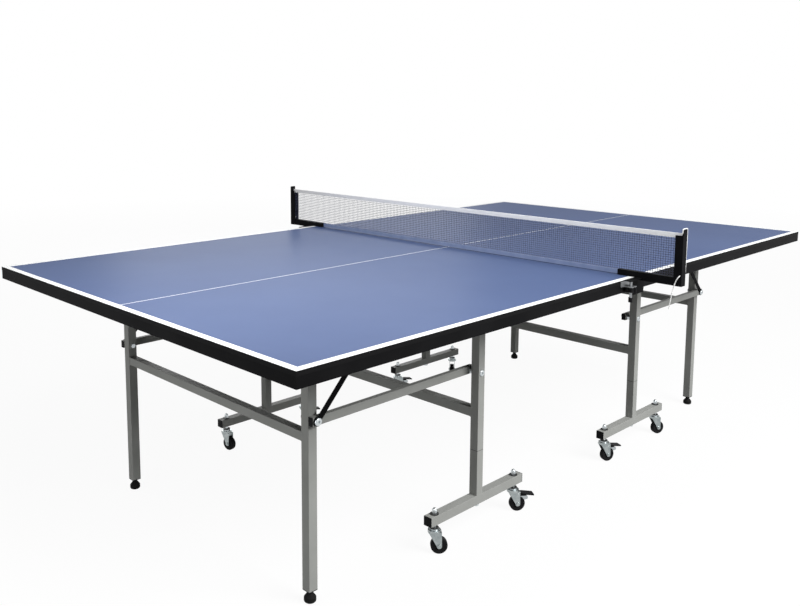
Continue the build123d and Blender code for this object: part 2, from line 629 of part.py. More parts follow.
def caster_fork(braked):
    """The swivelling fork with its axle, and the brake's pin where there is a brake."""
    inner, outer = FORK_GAP / 2, FORK_GAP / 2 + FORK_PLATE
    crown = rod_z(0, 0, CROWN_BOTTOM_Z, CROWN_TOP_Z, CROWN_DIAMETER)
    bridge = box((-FORK_TOP_LEAD, FORK_TOP_TRAIL), (-outer, outer),
                 (CROWN_BOTTOM_Z, CROWN_BOTTOM_Z + FORK_PLATE))
    fork = crown + bridge + fork_plate(inner, outer) + fork_plate(-outer, -inner)
    fork -= rod_z(0, 0, CROWN_BOTTOM_Z - PAST, CROWN_TOP_Z + PAST, STEM_DIAMETER + 2 * RUNNING)
    axle_z = WHEEL_DIAMETER / 2
    fork -= rod_y(TRAIL, axle_z, -outer - PAST, outer + PAST, AXLE_DIAMETER)
    axle = rod_y(TRAIL, axle_z, -outer, outer, AXLE_DIAMETER)
    axle += rod_y(TRAIL, axle_z, outer, outer + AXLE_HEAD, AXLE_HEAD_DIAMETER)
    axle += rod_y(TRAIL, axle_z, -outer - AXLE_HEAD, -outer, AXLE_HEAD_DIAMETER)
    if not braked:
        return [fork, axle]
    pin_end = outer + BRAKE_PIN_END
    pin = rod_y(BRAKE_PIN_X, BRAKE_PIN_Z, -pin_end, pin_end, BRAKE_PIN_DIAMETER)
    return [fork - pin, axle, pin]


def caster_wheel():
    """A round-edged wheel with a slightly wider hub."""
    axle_z = WHEEL_DIAMETER / 2
    tyre = rod_y(TRAIL, axle_z, -WHEEL_WIDTH / 2, WHEEL_WIDTH / 2, WHEEL_DIAMETER)
    rims = tyre.edges().filter_by(GeomType.CIRCLE)
    tyre = fillet(rims, TREAD_ROUND)
    hub_half = FORK_GAP / 2 - FACE_GAP
    wheel = tyre + rod_y(TRAIL, axle_z, -hub_half, hub_half, HUB_DIAMETER)
    return [wheel - rod_y(TRAIL, axle_z, -FORK_GAP, FORK_GAP, AXLE_DIAMETER + 2 * RUNNING)]


def brake_pedal():
    """A lever over the wheel, and the metal shoe under it that presses the tread."""
    x, z = BRAKE_PIN_X, BRAKE_PIN_Z
    top = z + BRAKE_HUB_DIAMETER / 2
    slope = (top - LEVER_TIP_Z) / (LEVER_REACH - TRAIL)
    outline = [
        (x, top),
        (TRAIL, top),
        (LEVER_REACH, LEVER_TIP_Z),
        (LEVER_REACH, LEVER_TIP_Z - LEVER_THICKNESS),
        (TRAIL, top - LEVER_THICKNESS),
        (x, top - LEVER_THICKNESS),
    ]
    neck_half = FORK_GAP / 2 - FACE_GAP
    lever = plate_y(outline, -neck_half, neck_half)
    lever += rod_y(x, z, -neck_half, neck_half, BRAKE_HUB_DIAMETER)
    pad = plate_y(outline, -LEVER_WIDTH / 2, LEVER_WIDTH / 2)
    pad_box = box((LEVER_PAD_FROM, LEVER_REACH + PAST), (-LEVER_WIDTH, LEVER_WIDTH), (0, top))
    lever += pad & pad_box
    lever -= rod_y(x, z, -FORK_GAP, FORK_GAP, BRAKE_PIN_DIAMETER + 2 * RUNNING)
    axle_z = WHEEL_DIAMETER / 2
    underside = top - LEVER_THICKNESS
    tip_low, tip_high = SHOE_TIP_Z
    shoe_outline = [
        (TRAIL, axle_z),
        (TRAIL, underside),
        (SHOE_HEEL_X, underside - slope * (SHOE_HEEL_X - TRAIL)),
        (SHOE_REACH, tip_high),
        (SHOE_REACH, tip_low),
        (SHOE_HEEL_X, SHOE_HEEL_Z),
    ]
    shoe = plate_y(shoe_outline, -SHOE_WIDTH / 2, SHOE_WIDTH / 2)
    tread = axle_z + SHOE_CLEARANCE
    shoe -= rod_y(TRAIL, axle_z, -SHOE_WIDTH, SHOE_WIDTH, 2 * tread)
    shoe -= rod_y(x, z, -SHOE_WIDTH, SHOE_WIDTH, BRAKE_HUB_DIAMETER)
    return [lever, shoe - lever]


def place_caster(pieces, x, y, yaw):
    """Stand caster pieces under the stem at x and y, trailing towards yaw."""
    return [Pos(x, y, 0) * Rot(0, 0, yaw) * piece for piece in pieces]


# --- net set, modelled at the back

def net_post():
    """A channel open towards the net, whose web stands taller than its flanges."""
    half = NET_POST_SIZE / 2
    inside = half - NET_POST_WALL
    post = box((-half, half), (NET_POST_EDGE_Y, NET_POST_WEB_Y), (ARM_BOTTOM_Z, FLANGE_TOP_Z))
    post -= box((-inside, inside), (NET_POST_EDGE_Y - PAST, NET_POST_WEB_Y + PAST),
                (ARM_BOTTOM_Z - PAST, FLANGE_TOP_Z + PAST))
    web = box((-half, half), (NET_POST_WEB_Y, NET_POST_Y), (ARM_BOTTOM_Z, WEB_TOP_Z))
    top_corners = web.edges().filter_by(Axis.Y).sort_by(Axis.Z)[-2:]
    post += fillet(top_corners, WEB_CORNER_RADIUS)
    hole = Rot(0, 90, 0) * Cylinder(CORD_HOLE_DIAMETER / 2, 2 * NET_POST_SIZE)
    return post - Pos(0, CORD_HOLE_Y, CORD_HOLE_Z) * hole


def net_bracket():
    """The arm that carries a net post, the plate outside the apron, and the tab over the keeper."""
    half = ARM_WIDTH / 2
    end_y = NET_POST_WEB_Y - FACE_GAP
    arm = box((-half, half), (ARM_START_Y, end_y), (ARM_BOTTOM_Z, ARM_TOP_Z))
    arm -= box((-half + ARM_WALL, half - ARM_WALL), (ARM_START_Y + ARM_WALL, end_y + PAST),
               (ARM_BOTTOM_Z - PAST, ARM_TOP_Z - ARM_WALL))
    arm -= box((-ARM_WIDTH, ARM_WIDTH), (ARM_START_Y - PAST, SIDE_PLATE_Y),
               (ARM_BOTTOM_Z - PAST, TABLE_HEIGHT + FACE_GAP))
    bottom = ARM_BOTTOM_Z - SIDE_PLATE_DROP
    outline = [
        (SIDE_PLATE_LEFT, bottom),
        (SIDE_PLATE_RIGHT_BOTTOM, bottom),
        (SIDE_PLATE_RIGHT_TOP, ARM_BOTTOM_Z),
        (-half, ARM_BOTTOM_Z),
        (-half, TAB_Z[0]),
        (SIDE_PLATE_LEFT, TAB_Z[0]),
    ]
    plate = plate_y(outline, SIDE_PLATE_Y, SIDE_PLATE_Y + SIDE_PLATE)
    tab = box((TAB_LEFT, -half), (SIDE_PLATE_Y, SIDE_PLATE_Y + TAB_DEPTH), TAB_Z)
    return [arm, plate, tab]


def net():
    """The net and its top tape, stretched between the posts and resting on the arms."""
    y_end = NET_POST_EDGE_Y + NET_PAST_POST_EDGE
    y_arm = ARM_START_Y - FACE_GAP
    arm_clear_z = ARM_TOP_Z + FACE_GAP
    mesh_half = MESH_THICKNESS / 2
    mesh = box((-mesh_half, mesh_half), (-y_end, y_end), (arm_clear_z, TAPE_TOP_Z - TAPE_HEIGHT))
    mesh += box((-mesh_half, mesh_half), (-y_arm, y_arm),
                (TABLE_HEIGHT + NET_OFF_TABLE, arm_clear_z))
    tape_half = TAPE_THICKNESS / 2
    tape = box((-tape_half, tape_half), (-y_end, y_end), (TAPE_TOP_Z - TAPE_HEIGHT, TAPE_TOP_Z))
    return [mesh, tape]


def net_keeper():
    """A bent plate on the half's edge, whose lug carries the thumb screw."""
    edge_y = TABLE_WIDTH / 2
    keeper = box(KEEPER_X, (edge_y, edge_y + KEEPER_PLATE), KEEPER_Z)
    keeper += box(LUG_X, (edge_y, edge_y + LUG_DEPTH), (KEEPER_Z[0], KEEPER_Z[0] + LUG_THICKNESS))
    return keeper - rod_z(SCREW_X, edge_y + SCREW_OFF_EDGE, KEEPER_Z[0] - PAST, KEEPER_Z[1],
                          SCREW_DIAMETER + 2 * RUNNING)


def keeper_screw():
    """The thumb screw: a shank, a lobed knob and the cap on its lower end."""
    y = TABLE_WIDTH / 2 + SCREW_OFF_EDGE
    shank = rod_z(SCREW_X, y, SCREW_BOTTOM_Z, SCREW_TOP_Z, SCREW_DIAMETER)
    knob = rod_z(SCREW_X, y, *KNOB_Z, KNOB_DIAMETER)
    for lobe in range(KNOB_LOBES):
        angle = 2 * math.pi * lobe / KNOB_LOBES
        lobe_x = SCREW_X + KNOB_DIAMETER / 2 * math.cos(angle)
        lobe_y = y + KNOB_DIAMETER / 2 * math.sin(angle)
        knob += rod_z(lobe_x, lobe_y, *KNOB_Z, KNOB_LOBE_DIAMETER)
    cap = rod_z(SCREW_X, y, *SCREW_CAP_Z, SCREW_CAP_DIAMETER)
    return [shank, knob - shank, cap - shank]


# --- net cord: from the tape's end round the front post's web, through the post, to a free end.
# Each point is its X, how far inside the web's inner face it lies, and its height over the table.

CORD_POINTS = [
    (0, 7.5, 148.8),
    (0, 3.5, 148.8),
    (-8, 3.5, 148.8),
    (-15, 3.3, 149.6),
    (-15, -0.9, 154),
    (-14.9, -1.2, 164.9),
    (-12.7, -1.3, 167.1),
    (12.7, -1.3, 167.1),
    (14.9, -1.2, 164.9),
    (15.2, -0.1, 35),
    (17.4, 2.1, 27),
    (13, 2.9, 24.6),
    (-13, 2.9, 26),
    (-17.6, 3.3, 24),
    (-19.2, 8.5, 16.5),
    (-19.8, 15, 0),
    (-20.8, 22.5, -34),
    (-21.4, 28.5, -78),
]
CORD_ROUTE = [(x, inside - NET_POST_WEB_Y, TABLE_HEIGHT + z) for x, inside, z in CORD_POINTS]


def route_radii(points):
    """Each corner's radius: as large as its two runs allow."""
    radii = []
    for before, here, after in zip(points, points[1:], points[2:]):
        arriving = Vector(*here) - Vector(*before)
        leaving = Vector(*after) - Vector(*here)
        turn = math.radians(arriving.get_angle(leaving))
        radii.append(CORD_BEND_SHARE * min(arriving.length, leaving.length) / math.tan(turn / 2))
    return radii


def net_cord():
    path = FilletPolyline(*CORD_ROUTE, radius=route_radii(CORD_ROUTE))
    section = Plane(origin=path @ 0, z_dir=path % 0) * Circle(CORD_DIAMETER / 2)
    tube = sweep(section, path=path)
    print("cord length", round(path.length, 1))
    return [tube]


# --- casters as they stand: half, side, place on the bar, and the way the wheel trails

CASTER_YAW = {
    ("left", "front", "outer"): -42.0,
    ("left", "front", "inner"): -36.0,
    ("left", "back", "outer"): -80.0,
    ("left", "back", "inner"): -20.0,
    ("right", "front", "inner"): -24.0,
    ("right", "front", "outer"): -25.0,
    ("right", "back", "inner"): -20.0,
    ("right", "back", "outer"): -140.0,
}


def save(name, pieces):
    """Write one node: a compound of its separate solids."""
    solids = [solid for piece in pieces for solid in piece.solids()]
    export_step(Compound(children=solids), f"parts/{name}.step")
    print(name, len(solids))


def save_casters():
    wheel = caster_wheel()
    pedal = brake_pedal()
    outer_x, inner_x = stem_places()
    for (half, side, place), yaw in CASTER_YAW.items():
        x = outer_x if place == "outer" else inner_x
        x = x if half == "left" else -x
        y = -POST_Y if side == "front" else POST_Y
        braked = place == "inner"
        where = f"{side}_{place}"
        save(f"{half}_caster_fork_{where}", place_caster(caster_fork(braked), x, y, yaw))
        save(f"{half}_caster_wheel_{where}", place_caster(wheel, x, y, yaw))
        if braked:
            save(f"{half}_brake_pedal_{side}", place_caster(pedal, x, y, yaw))


def save_half(name, groups):
    for node, pieces in groups.items():
        save(f"{name}_{node}", pieces)


def main():
    os.makedirs("parts", exist_ok=True)
    left_foot = Pos(-LEG_X, LEG_Y, 0) * foot()
    left = {
        "table_top": table_top(),
        "top_frame": top_frame(),
        "hinge_brackets": hinge_brackets(),
        "leg_frame": leg_frame(),
        "leg_plugs": leg_plugs(),
        "foot_back": [left_foot],
        "foot_front": front_pieces([left_foot]),
        "tie_rods": tie_rods(),
        "tie_rod_caps": tie_rod_caps(),
        "stays": stays(),
        "leg_pivot_bolts": leg_pivot_bolts(),
        "frame_bolts": frame_bolts(),
        "post_frame": post_frame(),
        "caster_bases": caster_bases(),
        "bar_end_caps": bar_end_caps(),
        "caster_stems": caster_stems(),
    }
    save_half("left", left)
    save_half("right", {node: right_pieces(pieces) for node, pieces in left.items()})
    save_casters()
    bracket = net_bracket()
    save("net_bracket_back", bracket)
    save("net_bracket_front", front_pieces(bracket))
    save("net_posts", both_sides([net_post()]))
    save("net", net())
    save("net_cord", net_cord())
    save("net_keepers", both_sides([net_keeper()]))
    screw = keeper_screw()
    save("keeper_screw_back", screw)
    save("keeper_screw_front", front_pieces(screw))


main()
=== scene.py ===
# %% [markdown]
# # A roll-away ping pong table
# The table comes in two halves. Each half is a blue top on a black frame, carried by a wheeled
# frame and an outer pair of legs, and both halves fold up over their wheels. The solid parts
# arrive as a fixed frame in metres: +X runs along the table, -Y is the front, +Z is up, and the
# origin is on the floor under the middle of the net. This lesson gives them their finishes, ties
# the net, lays its cord, and adds the welds, screws and stitches that make it a made thing.

# %% Load the frame
import math

import bmesh
import bpy
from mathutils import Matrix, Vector


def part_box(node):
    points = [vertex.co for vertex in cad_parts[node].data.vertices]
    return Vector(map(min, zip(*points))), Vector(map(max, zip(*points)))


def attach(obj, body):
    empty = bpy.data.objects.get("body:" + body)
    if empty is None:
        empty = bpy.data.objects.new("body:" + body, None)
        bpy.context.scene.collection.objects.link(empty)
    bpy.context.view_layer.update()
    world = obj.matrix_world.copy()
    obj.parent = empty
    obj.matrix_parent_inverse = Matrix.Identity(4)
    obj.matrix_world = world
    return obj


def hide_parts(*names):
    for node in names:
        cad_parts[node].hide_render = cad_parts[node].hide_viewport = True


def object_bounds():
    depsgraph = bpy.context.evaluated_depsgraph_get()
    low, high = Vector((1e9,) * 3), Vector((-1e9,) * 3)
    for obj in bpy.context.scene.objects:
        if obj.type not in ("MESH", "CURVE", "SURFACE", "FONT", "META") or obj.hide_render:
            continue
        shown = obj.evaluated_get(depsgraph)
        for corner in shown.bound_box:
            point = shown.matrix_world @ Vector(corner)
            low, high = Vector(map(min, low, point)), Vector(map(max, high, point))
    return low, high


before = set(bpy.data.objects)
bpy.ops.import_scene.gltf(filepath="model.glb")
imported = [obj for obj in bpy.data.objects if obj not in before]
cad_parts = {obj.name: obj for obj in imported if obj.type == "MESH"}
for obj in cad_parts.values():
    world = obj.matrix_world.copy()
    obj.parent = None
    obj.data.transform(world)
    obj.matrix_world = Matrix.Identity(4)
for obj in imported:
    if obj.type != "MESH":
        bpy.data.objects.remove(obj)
cad_low, cad_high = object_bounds()
print("frame", len(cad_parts), "nodes", [round(v, 3) for v in (cad_high - cad_low)])

# %% [markdown]
# ## The camera
# It stands off the near left corner, a little above the net, and looks along the table. A lens
# shift frames the table the way a view camera would, so that upright legs stay nearly upright.

# %% Camera
CAMERA_PLACE = (-2.4292, -2.0494, 1.2965)
CAMERA_HEADING = 46.61
CAMERA_DOWN = 7.16
LENS = 38.3
LENS_SHIFT = (0.059, -0.1163)

camera_data = bpy.data.cameras.new("camera")
camera_data.lens = LENS
camera_data.shift_x, camera_data.shift_y = LENS_SHIFT
camera = bpy.data.objects.new("camera", camera_data)
camera.location = CAMERA_PLACE
camera.rotation_euler = (math.radians(90 - CAMERA_DOWN), 0, math.radians(CAMERA_HEADING - 90))
bpy.context.scene.collection.objects.link(camera)
bpy.context.scene.camera = camera
print("camera", CAMERA_PLACE, "lens", LENS, "mm, shifted by", LENS_SHIFT)

# %% [markdown]
# ## Building shader trees
# Every finish here is a small node tree. One helper adds a node, and takes for each input either
# a plain value or another node's output, which it links.

# %% Shader helpers
def put(tree, kind, inputs=None, **settings):
    """Adds a node, with its settings and its inputs: values, or output sockets to link."""
    node = tree.nodes.new(kind)
    for name, value in settings.items():
        setattr(node, name, value)
    for name, value in (inputs or {}).items():
        if isinstance(value, bpy.types.NodeSocket):
            tree.links.new(value, node.inputs[name])
        else:
            node.inputs[name].default_value = value
    return node


def calc(tree, operation, *values):
    """A Math node's result."""
    return put(tree, "ShaderNodeMath", dict(enumerate(values)), operation=operation).outputs[0]


def blend_colour(tree, factor, first, second):
    """A colour between two, by a factor."""
    node = tree.nodes.new("ShaderNodeMix")
    node.data_type = "RGBA"
    for socket, value in zip((node.inputs[0], node.inputs[6], node.inputs[7]),
                             (factor, first, second)):
        if isinstance(value, bpy.types.NodeSocket):
            tree.links.new(value, socket)
        else:
            socket.default_value = value if isinstance(value, float) else (*value, 1)[:4]
    return node.outputs[2]

# %% [markdown]
# ## Groups for what finishes share
# An effect that several finishes use is built once, as a node group with named inputs, and then
# placed in each material with its own values.

# %% Group helpers
def group_tree(name, inputs, outputs):
    """A shader node group with float inputs at their defaults, and its named outputs."""
    tree = bpy.data.node_groups.new(name, "ShaderNodeTree")
    for label, value in inputs.items():
        socket = tree.interface.new_socket(name=label, in_out="INPUT",
                                           socket_type="NodeSocketFloat")
        socket.default_value = value
    for label, kind in outputs.items():
        tree.interface.new_socket(name=label, in_out="OUTPUT", socket_type="NodeSocket" + kind)
    return tree, tree.nodes.new("NodeGroupInput"), tree.nodes.new("NodeGroupOutput")


def place_group(tree, group, **inputs):
    """Puts a node group in a material, with its own values for the group's inputs."""
    node = tree.nodes.new("ShaderNodeGroup")
    node.node_tree = group
    for name, value in inputs.items():
        node.inputs[name.replace("_", " ").capitalize()].default_value = value
    return node

# %% [markdown]
# ## Three effects that the finishes share
# *Surface grain* is the fine unevenness of a powder coat, a moulding or a plating, and a slow
# mottle of tone. *Rounded edges* asks the renderer for a softened normal near a sharp edge, which
# also shows where an edge is, so that a coat can be thinner there. *Height band* picks a slice of
# the table between two heights, for small parts that join two materials.

# %% Effects
def make_grain():
    tree, given, result = group_tree("Surface grain", {"Scale": 900.0, "Mottle scale": 9.0},
                                     {"Grain": "Float", "Mottle": "Float"})
    place = put(tree, "ShaderNodeTexCoord").outputs["Object"]
    fine = put(tree, "ShaderNodeTexNoise", {"Vector": place, "Scale": given.outputs["Scale"],
                                            "Detail": 3.0, "Roughness": 0.6})
    slow = put(tree, "ShaderNodeTexNoise", {"Vector": place, "Scale": given.outputs["Mottle scale"],
                                            "Detail": 4.0, "Roughness": 0.55})
    tree.links.new(fine.outputs["Fac"], result.inputs["Grain"])
    tree.links.new(slow.outputs["Fac"], result.inputs["Mottle"])
    return tree


def make_rounded_edges():
    tree, given, result = group_tree("Rounded edges", {"Radius": 0.0012},
                                     {"Normal": "Vector", "Edge": "Float"})
    soft = put(tree, "ShaderNodeBevel", {"Radius": given.outputs["Radius"]}, samples=6)
    flat = put(tree, "ShaderNodeNewGeometry").outputs["Normal"]
    match = put(tree, "ShaderNodeVectorMath", {0: soft.outputs["Normal"], 1: flat},
                operation="DOT_PRODUCT").outputs["Value"]
    edge = put(tree, "ShaderNodeMapRange", {"Value": match, "From Min": 0.995, "From Max": 0.85})
    tree.links.new(soft.outputs["Normal"], result.inputs["Normal"])
    tree.links.new(edge.outputs["Result"], result.inputs["Edge"])
    return tree


def make_height_band():
    tree, given, result = group_tree("Height band", {"Low": 0.0, "High": 1.0}, {"Inside": "Float"})
    place = put(tree, "ShaderNodeTexCoord").outputs["Object"]
    height = put(tree, "ShaderNodeSeparateXYZ", {0: place}).outputs["Z"]
    above = calc(tree, "GREATER_THAN", height, given.outputs["Low"])
    below = calc(tree, "LESS_THAN", height, given.outputs["High"])
    tree.links.new(calc(tree, "MULTIPLY", above, below), result.inputs["Inside"])
    return tree


GRAIN = make_grain()
ROUNDED = make_rounded_edges()
BAND = make_height_band()
print("effects:", GRAIN.name, "-", ROUNDED.name, "-", BAND.name)

# %% [markdown]
# ## One recipe for coats, mouldings and platings
# The recipe mixes a dark and a light tone of the finish by the slow mottle, lightens or darkens
# the edges, varies the roughness with the grain, and raises the grain as a bump on the softened
# normal. Each finish then only states its own values.

# %% The recipe
def coat(name, dark, light, roughness, spread=0.08, metallic=0.0, grain=900.0, depth=0.02,
         mottle=9.0, edge_tone=None, edge_share=0.5, radius=0.0012, shine=0.3):
    """A finish, as a material: its two tones, its gloss, its grain and its edges."""
    material = bpy.data.materials.new(name)
    material.use_nodes = True
    tree = material.node_tree
    shader = tree.nodes["Principled BSDF"]
    surface = place_group(tree, GRAIN, scale=grain, mottle_scale=mottle)
    rounded = place_group(tree, ROUNDED, radius=radius)
    tone = put(tree, "ShaderNodeMapRange", {"Value": surface.outputs["Mottle"],
                                            "From Min": 0.3, "From Max": 0.7})
    colour = blend_colour(tree, tone.outputs["Result"], dark, light)
    if edge_tone:
        worn = calc(tree, "MULTIPLY", rounded.outputs["Edge"], edge_share)
        colour = blend_colour(tree, worn, colour, edge_tone)
    gloss = put(tree, "ShaderNodeMapRange", {"Value": surface.outputs["Grain"],
                                             "From Min": 0.3, "From Max": 0.7,
                                             "To Min": roughness - spread / 2,
                                             "To Max": roughness + spread / 2})
    bump = put(tree, "ShaderNodeBump", {"Height": surface.outputs["Grain"], "Strength": 0.35,
                                        "Distance": depth / 1000,
                                        "Normal": rounded.outputs["Normal"]})
    tree.links.new(colour, shader.inputs["Base Color"])
    tree.links.new(gloss.outputs["Result"], shader.inputs["Roughness"])
    tree.links.new(bump.outputs["Normal"], shader.inputs["Normal"])
    shader.inputs["Metallic"].default_value = metallic
    shader.inputs["Specular IOR Level"].default_value = shine
    return material


def repaint_band(material, heights, colour, roughness, metallic):
    """Gives the slice of a finish between two heights another colour and gloss."""
    low, high = heights
    tree = material.node_tree
    shader = tree.nodes["Principled BSDF"]
    inside = place_group(tree, BAND, low=low, high=high).outputs["Inside"]
    old_colour = shader.inputs["Base Color"].links[0].from_socket
    tree.links.new(blend_colour(tree, inside, old_colour, colour), shader.inputs["Base Color"])
    for name, value in (("Roughness", roughness), ("Metallic", metallic)):
        socket = shader.inputs[name]
        old = socket.links[0].from_socket if socket.is_linked else socket.default_value
        change = calc(tree, "SUBTRACT", value, old)
        tree.links.new(calc(tree, "MULTIPLY_ADD", change, inside, old), socket)

# %% [markdown]
# ## The metal and plastic finishes
# The tubes have a grey powder coat, satin and a little lighter on its edges. The top's frame,
# the brackets, the stays and the net's posts are black. Zinc plating is a cold metal with a faint
# cloudiness: bright on bolts and caster stems, and dullest on the net's keepers. The casters'
# forks get a copy of the zinc that is a little rougher, and darker as painted shade because they
# sit low under the bars. Plugs, knobs and pedals are moulded black plastic, the feet black rubber.

# %% Finishes
grey_paint = coat("grey_powder_coat", (0.285, 0.29, 0.275), (0.325, 0.33, 0.315), 0.42,
                  edge_tone=(0.44, 0.44, 0.43), edge_share=0.45, depth=0.03, radius=0.0016,
                  shine=0.08)
black_paint = coat("black_powder_coat", (0.005, 0.005, 0.0055), (0.008, 0.008, 0.009), 0.40,
                   edge_tone=(0.02, 0.02, 0.02), edge_share=0.35, depth=0.03, shine=0.012)
apron_paint = coat("black_apron_coat", (0.006, 0.006, 0.0065), (0.009, 0.009, 0.0095), 0.38,
                   edge_tone=(0.03, 0.03, 0.03), edge_share=0.35, depth=0.03, shine=0.012)
zinc = coat("zinc_plating", (0.50, 0.54, 0.56), (0.63, 0.66, 0.67), 0.32, spread=0.14,
            metallic=1.0, grain=420.0, mottle=60.0, depth=0.02, radius=0.0007)
# The forks' zinc: slightly rougher, and darker as painted shade for the shade under the bars.
shaded_fork_plating = coat("shaded_fork_plating", (0.26, 0.295, 0.30), (0.40, 0.43, 0.43), 0.34, spread=0.14,
                 metallic=1.0, grain=420.0, mottle=70.0, depth=0.02, radius=0.0009)
dull_zinc = coat("dull_zinc", (0.26, 0.27, 0.28), (0.36, 0.37, 0.38), 0.46, spread=0.12,
                 metallic=1.0, grain=420.0, mottle=90.0, depth=0.02, radius=0.0006)
black_plastic = coat("black_moulding", (0.008, 0.008, 0.009), (0.013, 0.013, 0.014), 0.45,
                     grain=1400.0, depth=0.03, radius=0.0008, shine=0.04)
black_rubber = coat("black_rubber", (0.008, 0.008, 0.008), (0.014, 0.014, 0.014), 0.62,
                    grain=700.0, depth=0.06, radius=0.0010, shine=0.04)
wheel_black = coat("wheel_tread", (0.008, 0.008, 0.009), (0.014, 0.014, 0.015), 0.5,
                   grain=600.0, mottle=40.0, depth=0.05, radius=0.0008, shine=0.04)
print(len(bpy.data.materials), "finishes")

# %% [markdown]
# ## Parts that join two materials
# A caster stem has black seals between its plated rings, and the two lengths of a post meet in a
# dark seam. A thumb screw's plastic knob holds a metal shank, and a brake's black lever ends in a
# metal shoe. Each of these is one solid, so a copy of its finish is repainted between two heights.

# %% Repainted slices
SEAL_BLACK = (0.02, 0.02, 0.02)
SEAM_TONE = (0.07, 0.07, 0.07)
ZINC_TONE = (0.40, 0.43, 0.44)
DULL_TONE = (0.27, 0.28, 0.29)
RACE_SEAL = (0.0768, 0.0802)
BAR_WASHER = (0.1188, 0.1212)
POST_SEAM = (0.2592, 0.2606)
SHANK_OVER_TAB = (0.7382, 0.7570)
SHANK_UNDER_TAB = (0.7068, 0.7238)
BRAKE_SHOE = (0.0, 0.0504)

stem_zinc = zinc.copy()
stem_zinc.name = "zinc_and_seals"
repaint_band(stem_zinc, RACE_SEAL, SEAL_BLACK, 0.5, 0.0)
repaint_band(stem_zinc, BAR_WASHER, SEAL_BLACK, 0.5, 0.0)
post_paint = grey_paint.copy()
post_paint.name = "grey_posts_with_seam"
repaint_band(post_paint, POST_SEAM, SEAM_TONE, 0.6, 0.0)
screw_plastic = black_plastic.copy()
screw_plastic.name = "knob_and_shank"
repaint_band(screw_plastic, SHANK_OVER_TAB, DULL_TONE, 0.42, 1.0)
repaint_band(screw_plastic, SHANK_UNDER_TAB, DULL_TONE, 0.42, 1.0)
pedal_plastic = black_plastic.copy()
pedal_plastic.name = "pedal_and_shoe"
repaint_band(pedal_plastic, BRAKE_SHOE, ZINC_TONE, 0.32, 1.0)
print("repainted:", [m.name for m in (stem_zinc, post_paint, screw_plastic, pedal_plastic)])

# %% [markdown]
# ## The playing surface
# A table top is lacquered blue with a white line 20 mm wide along every edge, and a fine line
# 3 mm wide down the middle for doubles. The lines are part of the lacquer, so they belong in the
# material: distances to the edges, in the object's own coordinates, make crisp masks. The panel's
# sides are closed by a black band. The lacquer is smooth with a very fine tooth, and it shines
# more the flatter one looks along it.

# %% Playing surface
EDGE_LINE = 0.020
CENTRE_LINE = 0.003
TOP_BLUE_DARK = (0.066, 0.097, 0.202)
TOP_BLUE_LIGHT = (0.074, 0.108, 0.219)
LINE_WHITE = (0.86, 0.87, 0.87)
EDGE_BAND = (0.010, 0.010, 0.0105)
LACQUER = 0.0006
SURFACE_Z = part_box("left_table_top")[1].z


def make_surface():
    half_length = cad_high.x
    half_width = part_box("left_table_top")[1].y
    material = coat("blue_playing_surface", TOP_BLUE_DARK, TOP_BLUE_LIGHT, 0.40, spread=0.05,
                    grain=1100.0, mottle=2.2, depth=0.015, radius=0.0006, shine=0.012)
    tree = material.node_tree
    shader = tree.nodes["Principled BSDF"]
    blue = shader.inputs["Base Color"].links[0].from_socket
    place = put(tree, "ShaderNodeTexCoord").outputs["Object"]
    split = put(tree, "ShaderNodeSeparateXYZ", {0: place})
    from_middle = calc(tree, "ABSOLUTE", split.outputs["X"])
    across = calc(tree, "ABSOLUTE", split.outputs["Y"])
    end_line = calc(tree, "GREATER_THAN", from_middle, half_length - EDGE_LINE)
    side_line = calc(tree, "GREATER_THAN", across, half_width - EDGE_LINE)
    middle_line = calc(tree, "LESS_THAN", across, CENTRE_LINE / 2)
    lines = calc(tree, "MAXIMUM", calc(tree, "MAXIMUM", end_line, side_line), middle_line)
    painted = blend_colour(tree, lines, blue, LINE_WHITE)
    below = calc(tree, "LESS_THAN", split.outputs["Z"], SURFACE_Z - LACQUER)
    tree.links.new(blend_colour(tree, below, painted, EDGE_BAND), shader.inputs["Base Color"])
    return material


blue_surface = make_surface()
print("playing surface at", round(SURFACE_Z, 4), "m")

# %% [markdown]
# ## Giving each solid its finish
# A part's name says what it is, so a short list pairs a word in the name with a finish.

# %% Dress the solids
FINISHES = {
    "table_top": blue_surface,
    "top_frame": apron_paint,
    "hinge_brackets": black_paint,
    "stays": black_paint,
    "net_posts": black_paint,
    "net_bracket": black_paint,
    "leg_frame": grey_paint,
    "post_frame": post_paint,
    "caster_bases": post_paint,
    "tie_rod_caps": black_plastic,
    "tie_rods": grey_paint,
    "leg_plugs": black_plastic,
    "bar_end_caps": black_plastic,
    "foot": black_rubber,
    "bolts": zinc,
    "caster_stems": stem_zinc,
    "caster_fork": shaded_fork_plating,
    "caster_wheel": wheel_black,
    "brake_pedal": pedal_plastic,
    "net_keepers": dull_zinc,
    "keeper_screw": screw_plastic,
}


def dress(name, part):
    material = next((m for word, m in FINISHES.items() if word in name), None)
    if material:
        for holder in part.material_slots:
            holder.material = material
    return material


plain = [name for name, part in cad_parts.items() if not dress(name, part)]
print("left for pieces of their own:", plain)

# %% [markdown]
# ## The cord's braid
# The net's cord is braided from white threads. Its ridges wind both ways along it, so two
# slanting waves in the curve's own texture coordinates draw them, and they follow every bend.
# The grooves between the ridges are painted grey, as painted shade.

# %% Braid
BRAID_TURNS = (220.0, 4.0)


